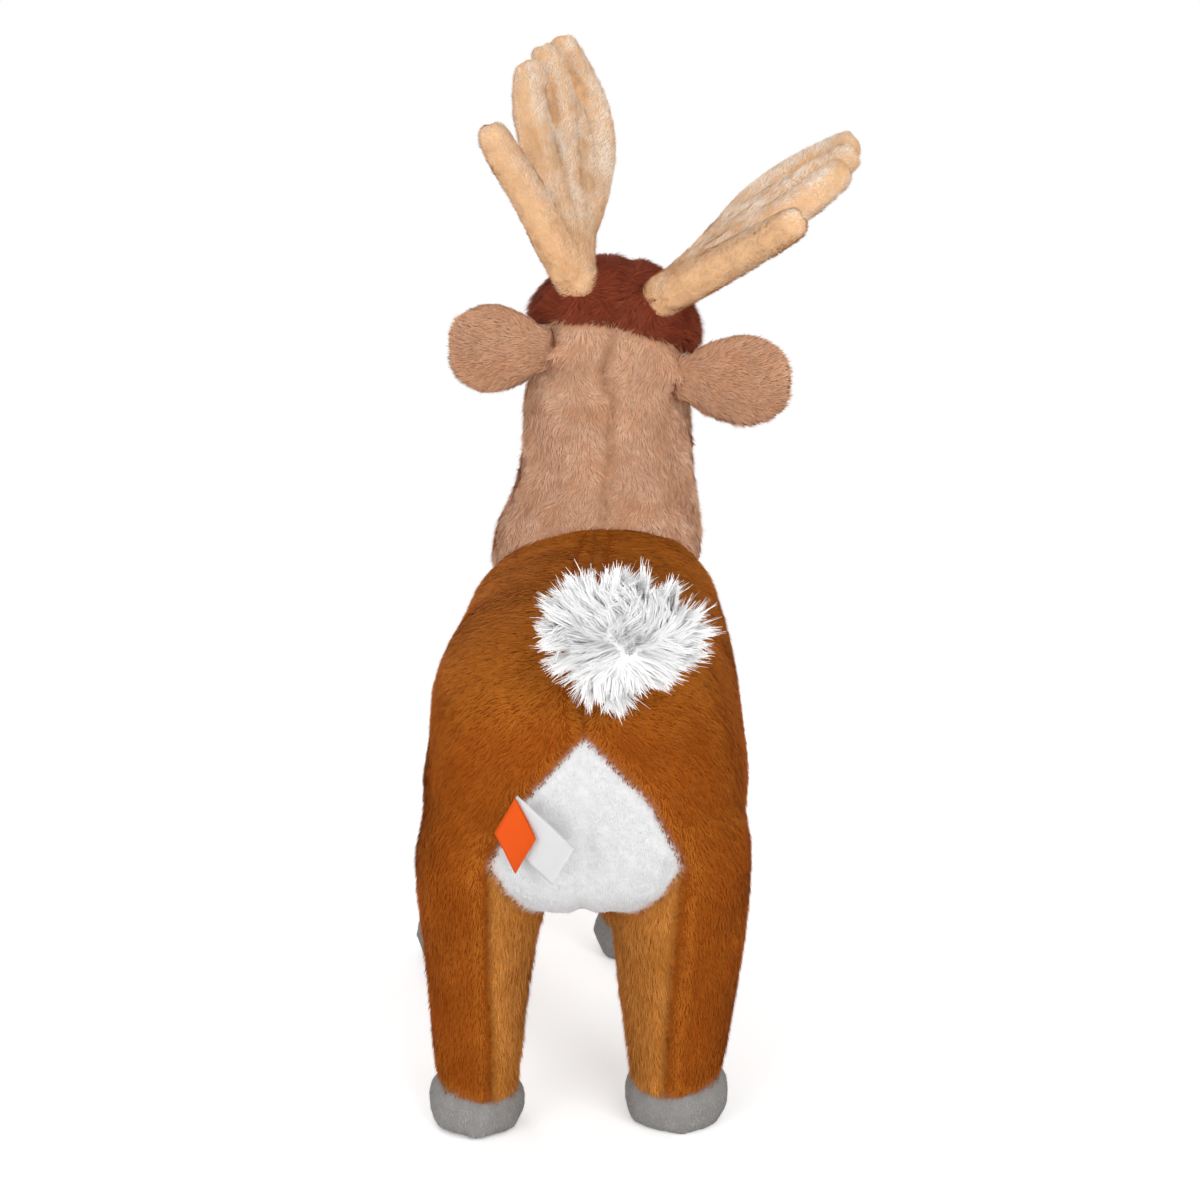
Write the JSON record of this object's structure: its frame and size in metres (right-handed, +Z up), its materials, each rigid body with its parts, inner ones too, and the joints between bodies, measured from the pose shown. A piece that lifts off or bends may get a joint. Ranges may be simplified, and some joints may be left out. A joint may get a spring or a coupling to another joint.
{
  "type": "plush deer",
  "caption": "Standing stuffed deer with long firm legs, a turned head, floppy palmate antlers and a pale tuft of a tail",
  "frame": {"origin": "The middle of the bounding box's underside, on the floor between the hooves", "axes": "+Z is up, the animal faces -Y, and its left side is +X"},
  "size_m": [0.1826, 0.3462, 0.3773],
  "materials": {
    "brown": "short brown plush, nap towards the ground",
    "inner_leg": "short tan-brown plush",
    "tan": "short tan plush",
    "crown": "dark red-brown plush",
    "cream": "cream plush",
    "white": "short white plush",
    "tail": "long white pile",
    "hoof": "grey plush",
    "antler": "sand velour",
    "fill": "loose polyester fibre",
    "eye": "polished black plastic",
    "washer": "plain plastic",
    "nose": "dark velour",
    "tab": "orange grosgrain ribbon",
    "label": "white satin ribbon"
  },
  "bodies": {
    "body": {"belly_panel": "cream", "body_stuffing": "fill", "crown_panel_left": "crown", "crown_panel_right": "crown", "eye_left": "eye", "eye_right": "eye", "eye_washer_left": "washer", "eye_washer_right": "washer", "flank_panel_left": "brown", "flank_panel_right": "brown", "front_left_hoof": "hoof", "front_left_hoof_sole": "hoof", "front_left_leg_inner_panel": "inner_leg", "front_left_leg_outer_panel": "brown", "front_left_leg_stuffing": "fill", "front_right_hoof": "hoof", "front_right_hoof_sole": "hoof", "front_right_leg_inner_panel": "inner_leg", "front_right_leg_outer_panel": "brown", "front_right_leg_stuffing": "fill", "head_panel_left": "tan", "head_panel_right": "tan", "head_stuffing": "fill", "hind_left_hoof": "hoof", "hind_left_hoof_sole": "hoof", "hind_left_leg_inner_panel": "inner_leg", "hind_left_leg_outer_panel": "brown", "hind_left_leg_stuffing": "fill", "hind_right_hoof": "hoof", "hind_right_hoof_sole": "hoof", "hind_right_leg_inner_panel": "inner_leg", "hind_right_leg_outer_panel": "brown", "hind_right_leg_stuffing": "fill", "muzzle_panel": "cream", "neck_panel_left": "tan", "neck_panel_right": "tan", "neck_stuffing": "fill", "nose": "nose", "rump_patch_left": "white", "rump_patch_right": "white", "throat_panel": "cream"},
    "left_ear": {"ear_left_back": "tan", "ear_left_lining": "cream"},
    "right_ear": {"ear_right_back": "tan", "ear_right_lining": "cream"},
    "left_antler": {"antler_left_inner_panel": "antler", "antler_left_outer_panel": "antler"},
    "right_antler": {"antler_right_inner_panel": "antler", "antler_right_outer_panel": "antler"},
    "tail_tuft": {"tail": "tail"},
    "sewn_labels": {"ribbon_tab": "tab", "woven_label": "label"}
  },
  "joints": [
    {"name": "left_ear_fold", "type": "hinge", "parent": "body", "child": "left_ear", "pos_m": [0.03406, -0.03899, 0.25702], "axis": [-0.0166, 0.0405, 0.999], "range_deg": [-20, 20], "stiffness_Nm_per_rad": 0.02},
    {"name": "right_ear_fold", "type": "hinge", "parent": "body", "child": "right_ear", "pos_m": [-0.02014, -0.0389, 0.24743], "axis": [-0.0109, -0.0409, 0.9991], "range_deg": [-20, 20], "stiffness_Nm_per_rad": 0.02},
    {"name": "left_antler_bend", "type": "hinge", "parent": "body", "child": "left_antler", "pos_m": [0.02142, -0.04304, 0.28565], "axis": [0.1392, 0.9903, 0], "range_deg": [-15, 15], "stiffness_Nm_per_rad": 0.25},
    {"name": "right_antler_bend", "type": "hinge", "parent": "body", "child": "right_antler", "pos_m": [-0.01175, -0.03838, 0.27978], "axis": [0.1392, 0.9903, 0], "range_deg": [-15, 15], "stiffness_Nm_per_rad": 0.25},
    {"name": "tail_bend", "type": "hinge", "parent": "body", "child": "tail_tuft", "pos_m": [0.02675, 0.14285, 0.16969], "axis": [1, 0, 0], "range_deg": [-15, 15], "stiffness_Nm_per_rad": 0.05},
    {"name": "label_lift", "type": "hinge", "parent": "body", "child": "sewn_labels", "pos_m": [0.05956, 0.15014, 0.13145], "axis": [0.4306, -0.2702, -0.8612], "range_deg": [0, 60], "stiffness_Nm_per_rad": 0.0008}
  ]
}
